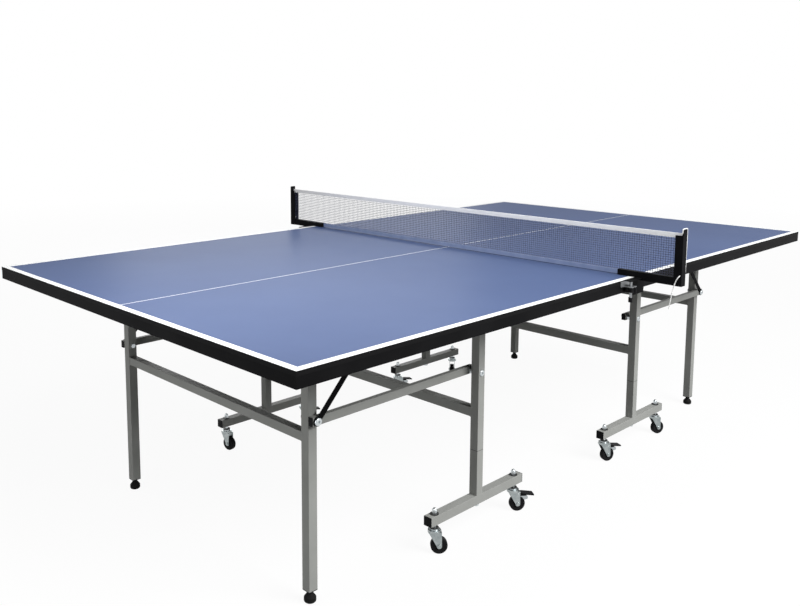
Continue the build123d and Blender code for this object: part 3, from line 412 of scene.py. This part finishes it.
def make_braid():
    """A white braid: two sets of slanting ridges, in the curve's own texture coordinates."""
    material = bpy.data.materials.new("white_braid")
    material.use_nodes = True
    tree = material.node_tree
    shader = tree.nodes["Principled BSDF"]
    around = put(tree, "ShaderNodeTexCoord").outputs["UV"]
    ridges = []
    along, across = BRAID_TURNS
    for slant in (across, -across):
        turned = put(tree, "ShaderNodeMapping", {"Vector": around, "Scale": (along, slant, 1.0)})
        wave = put(tree, "ShaderNodeTexWave", {"Vector": turned.outputs[0], "Scale": 1.0},
                   bands_direction="DIAGONAL")
        ridges.append(wave.outputs["Fac"])
    weave = calc(tree, "MAXIMUM", *ridges)
    # Grey in the grooves and white on the ridges: painted shade in the braid's grooves.
    colour = blend_colour(tree, weave, (0.66, 0.66, 0.64), (0.90, 0.90, 0.89))
    bump = put(tree, "ShaderNodeBump", {"Height": weave, "Strength": 0.6, "Distance": 0.0003})
    tree.links.new(colour, shader.inputs["Base Color"])
    tree.links.new(bump.outputs["Normal"], shader.inputs["Normal"])
    shader.inputs["Roughness"].default_value = 0.75
    shader.inputs["Sheen Weight"].default_value = 0.2
    return material


white_braid = make_braid()
print("finish:", white_braid.name)

# %% [markdown]
# ## The cord
# The net is pulled tight by a thin white cord. It leaves the tape's end, goes round the near
# post's web, down its outer edge and in through the post, and hangs free. A cord is a curve: a
# NURBS line through listed points bends as softly as the real thing, and a round bevel gives
# its thickness.

# %% Cord
CORD_DIAMETER = 0.003
CORD_ROUTE = [
    (0, -0.905, 0.9088),
    (0, -0.909, 0.9088),
    (-0.008, -0.909, 0.9088),
    (-0.015, -0.9092, 0.9096),
    (-0.015, -0.9134, 0.914),
    (-0.0149, -0.9137, 0.9249),
    (-0.0127, -0.9138, 0.9271),
    (0.0127, -0.9138, 0.9271),
    (0.0149, -0.9137, 0.9249),
    (0.0151, -0.9128, 0.801),
    (0.0154, -0.9124, 0.793),
    (0.0174, -0.9104, 0.787),
    (0.013, -0.9096, 0.7846),
    (-0.013, -0.9096, 0.786),
    (-0.0176, -0.9092, 0.784),
    (-0.0192, -0.904, 0.7765),
    (-0.0198, -0.8975, 0.760),
    (-0.0208, -0.890, 0.726),
    (-0.0214, -0.884, 0.682),
]


def lay_cord():
    curve = bpy.data.curves.new("net_cord_line", "CURVE")
    curve.dimensions = "3D"
    line = curve.splines.new("NURBS")
    line.points.add(len(CORD_ROUTE) - 1)
    for point, place in zip(line.points, CORD_ROUTE):
        point.co = (*place, 1)
    line.order_u = 3
    line.use_endpoint_u = True
    line.resolution_u = 10
    curve.bevel_depth = CORD_DIAMETER / 2
    curve.bevel_resolution = 3
    curve.use_fill_caps = True
    curve.materials.append(white_braid)
    cord = bpy.data.objects.new("white_net_cord", curve)
    bpy.context.scene.collection.objects.link(cord)
    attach(cord, "net_set")
    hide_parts("net_cord")
    stops = [Vector(place) for place in CORD_ROUTE]
    reach = sum((far - near).length for near, far in zip(stops, stops[1:]))
    print("cord", round(reach, 3), "m from point to point")


lay_cord()

# %% [markdown]
# ## Geometry Nodes helpers
# What repeats is grown by Geometry Nodes: a tree with named sizes, run once on a seed mesh, and
# then kept as a plain mesh. Setting an input goes by the socket's identifier.

# %% Growing shapes
def shape_tree(name, inputs):
    """A geometry node tree with named inputs, whose Material comes last."""
    tree = bpy.data.node_groups.new(name, "GeometryNodeTree")
    tree.interface.new_socket(name="Seed", in_out="INPUT", socket_type="NodeSocketGeometry")
    for label, value in inputs.items():
        kind = "NodeSocketInt" if isinstance(value, int) else "NodeSocketFloat"
        socket = tree.interface.new_socket(name=label, in_out="INPUT", socket_type=kind)
        socket.default_value = value
    tree.interface.new_socket(name="Material", in_out="INPUT", socket_type="NodeSocketMaterial")
    tree.interface.new_socket(name="Shape", in_out="OUTPUT", socket_type="NodeSocketGeometry")
    return tree, tree.nodes.new("NodeGroupInput"), tree.nodes.new("NodeGroupOutput")


def close_tree(tree, given, result, shape, smooth=True):
    """Realize Instances, smooth shading and the material: the end of every shape tree."""
    real = put(tree, "GeometryNodeRealizeInstances", {0: shape}).outputs[0]
    shaded = put(tree, "GeometryNodeSetShadeSmooth", {"Geometry": real, "Shade Smooth": smooth})
    dressed = put(tree, "GeometryNodeSetMaterial", {"Geometry": shaded.outputs[0],
                                                    "Material": given.outputs["Material"]})
    tree.links.new(dressed.outputs[0], result.inputs[0])


def grow(name, tree, material, seeds=((0, 0, 0),), edges=(), **sizes):
    """Runs a shape tree on seed points, or on lines between them, and keeps the plain mesh."""
    seed_mesh = bpy.data.meshes.new(name + "_seeds")
    seed_mesh.from_pydata([tuple(seed) for seed in seeds], edges, [])
    piece = bpy.data.objects.new(name, seed_mesh)
    bpy.context.scene.collection.objects.link(piece)
    modifier = piece.modifiers.new("grow", "NODES")
    modifier.node_group = tree
    sockets = {item.name: item.identifier for item in tree.interface.items_tree
               if item.item_type == "SOCKET" and item.in_out == "INPUT"}
    modifier[sockets["Material"]] = material
    for label, value in sizes.items():
        modifier[sockets[label.replace("_", " ").capitalize()]] = value
    bpy.context.view_layer.update()
    grown = piece.evaluated_get(bpy.context.evaluated_depsgraph_get())
    finished = bpy.data.meshes.new_from_object(grown)
    finished.name = name
    piece.modifiers.clear()
    piece.data = finished
    print(name, len(finished.polygons), "faces")
    return piece

# %% [markdown]
# ## How a net is built
# A real net is knotted cord in small squares. Two sets of thin strands are instanced on two
# lines of points, a small knot sits at every crossing, and a slow noise moves them all a little,
# so that the squares aren't perfect. A picture of a net on a flat sheet would look wrong from
# close by and would cast a solid shadow.

# %% Net tree
def make_net_tree():
    tree, given, result = shape_tree("Knotted net", {
        "Half width": 0.9, "Bottom": 0.78, "Top": 0.9, "Columns": 240, "Rows": 16,
        "Strand radius": 0.0006, "Knot radius": 0.001, "Unevenness": 0.001,
    })
    half, low, high = (given.outputs[n] for n in ("Half width", "Bottom", "Top"))
    columns, rows = given.outputs["Columns"], given.outputs["Rows"]
    start_y = calc(tree, "MULTIPLY", half, -1.0)
    step_y = calc(tree, "DIVIDE", calc(tree, "MULTIPLY", half, 2.0), columns)
    height = calc(tree, "SUBTRACT", high, low)
    step_z = calc(tree, "DIVIDE", height, rows)
    profile = put(tree, "GeometryNodeCurvePrimitiveCircle",
                  {"Resolution": 4, "Radius": given.outputs["Strand radius"]})

    def vector(x=0.0, y=0.0, z=0.0):
        return put(tree, "ShaderNodeCombineXYZ", {0: x, 1: y, 2: z}).outputs[0]

    def strand(end, steps):
        line = put(tree, "GeometryNodeCurvePrimitiveLine", {"End": end})
        stepped = put(tree, "GeometryNodeResampleCurve",
                      {"Curve": line.outputs[0], "Count": calc(tree, "ADD", steps, 1.0)})
        return put(tree, "GeometryNodeCurveToMesh", {"Curve": stepped.outputs[0],
                                                     "Profile Curve": profile.outputs[0],
                                                     "Fill Caps": True}).outputs[0]

    def line_of_points(count, start, step):
        return put(tree, "GeometryNodeMeshLine", {"Count": calc(tree, "ADD", count, 1.0),
                                                  "Start Location": start,
                                                  "Offset": step}).outputs[0]

    bottom_row = line_of_points(columns, vector(y=start_y, z=low), vector(y=step_y))
    side_column = line_of_points(rows, vector(y=start_y, z=low), vector(z=step_z))
    upright = strand(vector(z=height), rows)
    level = strand(vector(y=calc(tree, "MULTIPLY", half, 2.0)), columns)
    uprights = put(tree, "GeometryNodeInstanceOnPoints",
                   {"Points": bottom_row, "Instance": upright})
    levels = put(tree, "GeometryNodeInstanceOnPoints", {"Points": side_column, "Instance": level})
    knot = put(tree, "GeometryNodeMeshIcoSphere",
               {"Radius": given.outputs["Knot radius"], "Subdivisions": 1}).outputs[0]
    knot_line = put(tree, "GeometryNodeInstanceOnPoints", {
        "Points": line_of_points(columns, vector(), vector(y=step_y)), "Instance": knot})
    knots = put(tree, "GeometryNodeInstanceOnPoints",
                {"Points": side_column, "Instance": knot_line.outputs[0]})
    joined = tree.nodes.new("GeometryNodeJoinGeometry")
    for part in (uprights, levels, knots):
        tree.links.new(part.outputs[0], joined.inputs[0])
    real = put(tree, "GeometryNodeRealizeInstances", {0: joined.outputs[0]})
    noise = put(tree, "ShaderNodeTexNoise", {"Scale": 38.0, "Detail": 2.0})
    centred = put(tree, "ShaderNodeVectorMath",
                  {0: noise.outputs["Color"], 1: (0.5, 0.5, 0.5)}, operation="SUBTRACT")
    amount = vector(0.0, given.outputs["Unevenness"], given.outputs["Unevenness"])
    shift = put(tree, "ShaderNodeVectorMath", {0: centred.outputs[0], 1: amount},
                operation="MULTIPLY")
    moved = put(tree, "GeometryNodeSetPosition",
                {"Geometry": real.outputs[0], "Offset": shift.outputs[0]})
    close_tree(tree, given, result, moved.outputs[0])
    return tree

# %% [markdown]
# ## Thread and the net itself
# Thread is dull, with a fine tooth and the faint sheen of loose fibres. The net spans the posts
# from just over the arms up into its tape. It counts 228 squares along and 17 up, and each is
# between 7 and 8 mm wide.

# %% Tie the net
def make_thread(name, dark, light, scale):
    """A finish for woven or knotted thread: a fine weave in object coordinates."""
    material = coat(name, dark, light, 0.8, grain=scale, mottle=22.0, depth=0.2, radius=0.0004)
    shader = material.node_tree.nodes["Principled BSDF"]
    shader.inputs["Sheen Weight"].default_value = 0.25
    return material


net_low, net_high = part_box("net")
ARM_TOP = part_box("net_bracket_back")[1].z
TAPE_HEIGHT = 0.015
NET_SQUARES = (228, 17)
NET_SHORT_OF_POSTS = 0.0008
NET_OVER_ARMS = 0.0012
NET_INTO_TAPE = 0.002
net_thread = make_thread("net_thread", (0.018, 0.022, 0.055), (0.032, 0.038, 0.085), 1800.0)
net_strands = grow("knotted_net", make_net_tree(), net_thread,
                   half_width=net_high.y - NET_SHORT_OF_POSTS, bottom=ARM_TOP + NET_OVER_ARMS,
                   top=net_high.z - TAPE_HEIGHT + NET_INTO_TAPE, columns=NET_SQUARES[0],
                   rows=NET_SQUARES[1], strand_radius=0.00064, knot_radius=0.0011,
                   unevenness=0.0016)
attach(net_strands, "net_set")
net_length = 2 * (net_high.y - NET_SHORT_OF_POSTS)
print("squares", round(1000 * net_length / NET_SQUARES[0], 2), "mm wide")

# %% [markdown]
# ## How a woven band is made
# A woven strip has one thickness everywhere, so it is drawn as its cross-section, carried along
# the net in short steps that sway a little, and closed all round.

# %% Bands
SWAY_WAVES = 9.0
FOLD_STEPS = 6


def woven_band(name, section, y_from, y_to, steps, sway, material):
    """Carries a closed cross-section of (x, z) points along Y, swaying a little in X."""
    shape = bmesh.new()
    rings = []
    for step in range(steps + 1):
        y = y_from + (y_to - y_from) * step / steps
        side = sway * math.sin(y * SWAY_WAVES) * math.sin(math.pi * step / steps)
        rings.append([shape.verts.new((x + side, y, z)) for x, z in section])
    count = len(section)
    for near, far in zip(rings, rings[1:]):
        for i in range(count):
            j = (i + 1) % count
            shape.faces.new((near[i], near[j], far[j], far[i]))
    shape.faces.new(rings[0])
    shape.faces.new(list(reversed(rings[-1])))
    bmesh.ops.recalc_face_normals(shape, faces=shape.faces)
    mesh = bpy.data.meshes.new(name)
    shape.to_mesh(mesh)
    shape.free()
    mesh.materials.append(material)
    band = bpy.data.objects.new(name, mesh)
    bpy.context.scene.collection.objects.link(band)
    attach(band, "net_set")
    print(name, round(y_to - y_from, 3), "m long")
    return band


def folded_section(half, wall, low, high):
    """A band folded over at the top: down one side, and back up the other at wall's thickness."""
    inner = half - wall
    outside = [(-half, low), (-half, high - half)]
    inside = [(inner, low), (inner, high - half)]
    for step in range(1, FOLD_STEPS):
        angle = math.pi * (1 - step / FOLD_STEPS)
        outside.append((half * math.cos(angle), high - half + half * math.sin(angle)))
    outside += [(half, high - half), (half, low)]
    for step in range(1, FOLD_STEPS):
        angle = math.pi * step / FOLD_STEPS
        inside.append((inner * math.cos(angle), high - half + inner * math.sin(angle)))
    inside += [(-inner, high - half), (-inner, low)]
    return outside + inside

# %% [markdown]
# ## Tape and hem
# The top tape is a white band folded over the net's head line, and the hem is a thin blue band
# along the net's lower edge, between the arms.

# %% Tape and hem
white_tape = make_thread("white_tape", (0.86, 0.86, 0.86), (0.92, 0.92, 0.92), 2600.0)
hem_band = make_thread("blue_hem", (0.20, 0.26, 0.43), (0.25, 0.31, 0.49), 2600.0)
TAPE_HALF = 0.0012
TAPE_WALL = 0.0004
HEM_HALF = 0.0005
HEM_LOW = net_low.z
HEM_HIGH = ARM_TOP - 0.0002
HEM_SHORT_OF_ARMS = 0.0006
SWAY = 0.0003

tape_y = net_high.y
tape_section = folded_section(TAPE_HALF, TAPE_WALL, net_high.z - TAPE_HEIGHT, net_high.z)
tape = woven_band("net_top_tape", tape_section, -tape_y, tape_y, 120, SWAY, white_tape)
hem_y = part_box("net_bracket_back")[0].y - HEM_SHORT_OF_ARMS
hem_section = [(-HEM_HALF, HEM_LOW), (HEM_HALF, HEM_LOW),
               (HEM_HALF, HEM_HIGH), (-HEM_HALF, HEM_HIGH)]
hem = woven_band("net_hem", hem_section, -hem_y, hem_y, 90, SWAY, hem_band)
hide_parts("net")

# %% [markdown]
# ## Welds
# The crossbars are welded to the posts and the legs. A bead is a row of overlapping round
# puddles, none quite like the next, so a tree sets uneven balls in short steps along lines. The
# wheeled frame's bars are welded above and below, the legs' bars all round.

# %% Welds
# A crossbar's piece and body, its X and its ends' Y, its height, its tube's size,
# and whether a full bead runs round it.
CROSSBARS = (
    ("post_welds", "wheel_frame", 0.467, 0.504, 0.376, 0.028, False),
    ("leg_welds", "leg_frame", 1.077, 0.442, 0.450, 0.025, True),
)


def make_bead_tree():
    tree, given, result = shape_tree("Weld bead", {"Puddle": 0.0019, "Step": 0.0021})
    line = put(tree, "GeometryNodeMeshToCurve", {0: given.outputs["Seed"]}).outputs[0]
    points = put(tree, "GeometryNodeResampleCurve",
                 {"Curve": line, "Length": given.outputs["Step"]}, mode="LENGTH").outputs[0]
    puddle = put(tree, "GeometryNodeMeshIcoSphere",
                 {"Radius": given.outputs["Puddle"], "Subdivisions": 2}).outputs[0]
    uneven = put(tree, "FunctionNodeRandomValue",
                 {"Min": (0.85, 0.85, 0.85), "Max": (1.1, 1.1, 1.1), "Seed": 0},
                 data_type="FLOAT_VECTOR").outputs[0]
    beads = put(tree, "GeometryNodeInstanceOnPoints",
                {"Points": points, "Instance": puddle, "Scale": uneven})
    close_tree(tree, given, result, beads.outputs[0])
    return tree


def weld_crossbar(name, body, x, end_y, z, size, full):
    """Beads at both ends of a crossbar: all round it, or along its top and bottom only."""
    half = size / 2
    seeds, edges = [], []
    for y in (-end_y, end_y):
        first = len(seeds)
        seeds += [(x + dx * half, y, z + dz * half)
                  for dx, dz in ((-1, -1), (1, -1), (1, 1), (-1, 1))]
        edges += [(first, first + 1), (first + 2, first + 3)]
        if full:
            edges += [(first + 1, first + 2), (first + 3, first)]
    beads = grow(name, bead_tree, grey_paint, seeds, edges)
    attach(beads, body)


bead_tree = make_bead_tree()
for half, side in (("left", -1), ("right", 1)):
    for piece, body, x, end_y, z, size, full in CROSSBARS:
        weld_crossbar(f"{half}_{piece}", f"{half}_{body}", side * x, end_y, z, size, full)

# %% [markdown]
# ## The screw's shape
# The screws are domed, with a cross slot. A squashed ball makes the dome, and two thin boxes
# cut the slot out of it, because a driver's cross is a hollow that catches the light.

# %% Screw tree
def make_screw_tree():
    tree, given, result = shape_tree("Cross-slot screw",
                                     {"Head radius": 0.004, "Head height": 0.0018})
    slot_width, slot_length, slot_depth = 0.26, 1.15, 1.05
    radius, height = given.outputs["Head radius"], given.outputs["Head height"]
    ball = put(tree, "GeometryNodeMeshUVSphere", {"Segments": 20, "Rings": 12, "Radius": radius})
    squash = put(tree, "ShaderNodeCombineXYZ",
                 {0: 1.0, 1: 1.0, 2: calc(tree, "DIVIDE", height, radius)})
    dome = put(tree, "GeometryNodeTransform",
               {"Geometry": ball.outputs[0], "Scale": squash.outputs[0]})
    slots = []
    for long_axis in (0, 1):
        sides = [calc(tree, "MULTIPLY", radius, slot_width)] * 2
        sides[long_axis] = calc(tree, "MULTIPLY", radius, slot_length)
        size = put(tree, "ShaderNodeCombineXYZ", {0: sides[0], 1: sides[1], 2: height})
        slots.append(put(tree, "GeometryNodeMeshCube", {"Size": size.outputs[0]}).outputs[0])
    drop = calc(tree, "MULTIPLY", height, -slot_depth)
    down = put(tree, "ShaderNodeCombineXYZ", {2: drop}).outputs[0]
    cut = dome.outputs[0]
    for slot in slots:
        lowered = put(tree, "GeometryNodeTransform", {"Geometry": slot, "Translation": down})
        cutter = put(tree, "GeometryNodeMeshBoolean", {"Mesh 1": cut}, operation="DIFFERENCE",
                     solver="EXACT")
        tree.links.new(lowered.outputs[0], cutter.inputs["Mesh 2"])
        cut = cutter.outputs[0]
    heads = put(tree, "GeometryNodeInstanceOnPoints",
                {"Points": given.outputs["Seed"], "Instance": cut})
    close_tree(tree, given, result, heads.outputs[0], smooth=False)
    return tree

# %% [markdown]
# ## Rail screws
# Each top is held to its rails by screws from below. They stand in two rows under the side
# rails and one row under the end rail.

# %% Rail screws
RAIL_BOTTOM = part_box("left_top_frame")[0].z
RAIL_MIDDLE = 0.0105
SCREW_COLUMNS = (0.10, 0.30, 0.58, 0.82, 0.98, 1.25)
SCREW_ROWS = (-0.55, -0.30, 0.0, 0.30, 0.55)


def set_screws(name, body, side):
    """Screws up through the rails of one half: side is -1 for the left half and 1 for the right."""
    rail_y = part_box("left_top_frame")[1].y - RAIL_MIDDLE
    outer_x = cad_high.x - RAIL_MIDDLE
    seeds = [(side * x, y, RAIL_BOTTOM) for x in SCREW_COLUMNS for y in (-rail_y, rail_y)]
    seeds += [(side * outer_x, y, RAIL_BOTTOM) for y in SCREW_ROWS]
    screws = grow(name, screw_tree, zinc, seeds)
    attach(screws, body)


screw_tree = make_screw_tree()
for half, side in (("left", -1), ("right", 1)):
    set_screws(f"{half}_rail_screws", f"{half}_top", side)

# %% [markdown]
# ## Stitches
# The tape and the hem are sewn to the net by a line of short stitches, which shows on both
# sides. A stitch is a small long ball, and a tree sets one on each point of a row.

# %% Stitches
SEAM_END = 0.004
TAPE_STITCH_RISE = 0.0025
TAPE_STITCH_PITCH = 0.0036
HEM_STITCH_DROP = 0.003
HEM_STITCH_PITCH = 0.0042


def make_stitch_tree():
    tree, given, result = shape_tree("Stitch", {"Half length": 0.0012, "Half width": 0.0003})
    thread = put(tree, "GeometryNodeMeshIcoSphere", {"Radius": 1.0, "Subdivisions": 2}).outputs[0]
    width = given.outputs["Half width"]
    shape = put(tree, "ShaderNodeCombineXYZ", {0: width, 1: given.outputs["Half length"], 2: width})
    stitch = put(tree, "GeometryNodeTransform", {"Geometry": thread, "Scale": shape.outputs[0]})
    row = put(tree, "GeometryNodeInstanceOnPoints",
              {"Points": given.outputs["Seed"], "Instance": stitch.outputs[0]})
    close_tree(tree, given, result, row.outputs[0])
    return tree


def sew(name, x, y_end, z, pitch):
    """Two rows of stitches, one on each side of a band of the net."""
    count = int(2 * y_end / pitch)
    seeds = [(side * x, -y_end + (i + 0.5) * pitch, z) for side in (-1, 1) for i in range(count)]
    stitches = grow(name, stitch_tree, stitch_thread, seeds)
    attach(stitches, "net_set")


stitch_tree = make_stitch_tree()
stitch_thread = make_thread("stitch_thread", (0.62, 0.62, 0.60), (0.74, 0.74, 0.72), 3000.0)
sew("tape_stitches", TAPE_HALF, tape_y - SEAM_END,
    net_high.z - TAPE_HEIGHT + TAPE_STITCH_RISE, TAPE_STITCH_PITCH)
sew("hem_stitches", HEM_HALF, hem_y - SEAM_END, HEM_HIGH - HEM_STITCH_DROP, HEM_STITCH_PITCH)

# %% [markdown]
# ## The sky
# A plain studio is a pale, even sky. It lights the table weakly, at a plain level, and still
# shows as white to the camera and in reflections: the kind of ray tells the two apart.

# %% Sky
WORLD_STRENGTH = 0.10


def seen_share(tree):
    """1 for what the camera sees, directly, in a reflection or through glass, and 0 for light."""
    rays = put(tree, "ShaderNodeLightPath")
    seen = calc(tree, "MAXIMUM", rays.outputs["Is Camera Ray"], rays.outputs["Is Glossy Ray"])
    return calc(tree, "MAXIMUM", seen, rays.outputs["Is Transmission Ray"])


def make_world():
    world = bpy.data.worlds.new("studio")
    bpy.context.scene.world = world
    world.use_nodes = True
    tree = world.node_tree
    tree.nodes.clear()
    light = put(tree, "ShaderNodeBackground",
                {"Color": (0.95, 0.97, 1.0, 1), "Strength": WORLD_STRENGTH})
    white = put(tree, "ShaderNodeBackground", {"Color": (1, 1, 1, 1), "Strength": 1.0})
    both = put(tree, "ShaderNodeMixShader",
               {0: seen_share(tree), 1: light.outputs[0], 2: white.outputs[0]})
    put(tree, "ShaderNodeOutputWorld", {"Surface": both.outputs[0]})


make_world()
print("sky at", WORLD_STRENGTH)

# %% [markdown]
# ## The floor
# The floor is pale and matt. Most of what the camera sees of it is a white glow, so that it runs
# into the sky without an edge, and the rest keeps the table's shadow.

# %% Floor
FLOOR_TONE = (0.10, 0.10, 0.10)
FLOOR_TONE_SEEN = (0.85, 0.85, 0.85)
FLOOR_GLOW = 0.94
GLOW_RISES = (3.0, 9.0)
FLOOR_REACH = 30.0


def make_floor():
    size = FLOOR_REACH
    mesh = bpy.data.meshes.new("studio_floor")
    corners = [(-size, -size, 0), (size, -size, 0), (size, size, 0), (-size, size, 0)]
    mesh.from_pydata(corners, [], [(0, 1, 2, 3)])
    floor = bpy.data.objects.new("studio_floor", mesh)
    bpy.context.scene.collection.objects.link(floor)
    material = bpy.data.materials.new("pale_floor")
    material.use_nodes = True
    tree = material.node_tree
    shader = tree.nodes["Principled BSDF"]
    shader.inputs["Roughness"].default_value = 0.9
    seen = seen_share(tree)
    tree.links.new(blend_colour(tree, seen, FLOOR_TONE, FLOOR_TONE_SEEN),
                   shader.inputs["Base Color"])
    glow = put(tree, "ShaderNodeEmission", {"Color": (1, 1, 1, 1), "Strength": 1.0})
    place = put(tree, "ShaderNodeTexCoord").outputs["Object"]
    distance = put(tree, "ShaderNodeVectorMath", {0: place}, operation="LENGTH").outputs["Value"]
    near, far = GLOW_RISES
    glow_share = put(tree, "ShaderNodeMapRange",
                     {"Value": distance, "From Min": near, "From Max": far,
                      "To Min": FLOOR_GLOW, "To Max": 1.0})
    share = calc(tree, "MULTIPLY", seen, glow_share.outputs["Result"])
    both = put(tree, "ShaderNodeMixShader", {0: share, 1: shader.outputs[0], 2: glow.outputs[0]})
    tree.links.new(both.outputs[0], tree.nodes["Material Output"].inputs["Surface"])
    mesh.materials.append(material)


make_floor()
print("floor", 2 * FLOOR_REACH, "m wide")

# %% [markdown]
# ## The lamps
# One broad key lamp stands high in front. A low lamp on the left lifts the faces turned that
# way, two small ones lift the near half and the net, and a long panel far behind puts a soft
# sheen on the lacquer. Large lamps give the soft shadows of a studio.

# %% Lamps
LAMPS = (
    # name, place, target, size, power, and a panel's height
    ("key_lamp", (0.4, -4.2, 3.5), (-0.2, 0, 0.4), 3.0, 395, None),
    ("left_lamp", (-2.6, -0.1, 0.5), (0, 0, 0.45), 1.3, 12, None),
    ("near_half_lamp", (-0.75, -0.2, 2.4), (-0.7, 0, 0.76), 1.4, 13, None),
    ("net_lamp", (-1.5, -0.2, 1.6), (0, -0.1, 0.95), 0.9, 11, None),
    ("sheen_panel", (2.9, 4.4, 2.3), (-0.4, 0, 0.76), 3.6, 66, 1.6),
)


def add_lamp(name, place, target, size, power, height=None):
    """A soft square lamp, or a soft panel where a height is given, hidden from the camera."""
    lamp_data = bpy.data.lights.new(name, "AREA")
    lamp_data.size = size
    if height:
        lamp_data.shape = "RECTANGLE"
        lamp_data.size_y = height
    lamp_data.energy = power
    lamp = bpy.data.objects.new(name, lamp_data)
    lamp.location = place
    lamp.rotation_euler = (Vector(target) - Vector(place)).to_track_quat("-Z", "Y").to_euler()
    lamp.visible_camera = False
    bpy.context.scene.collection.objects.link(lamp)


for lamp in LAMPS:
    add_lamp(*lamp)
bpy.context.scene.view_settings.view_transform = "Standard"
print(len(LAMPS), "lamps,", sum(lamp[4] for lamp in LAMPS), "W")
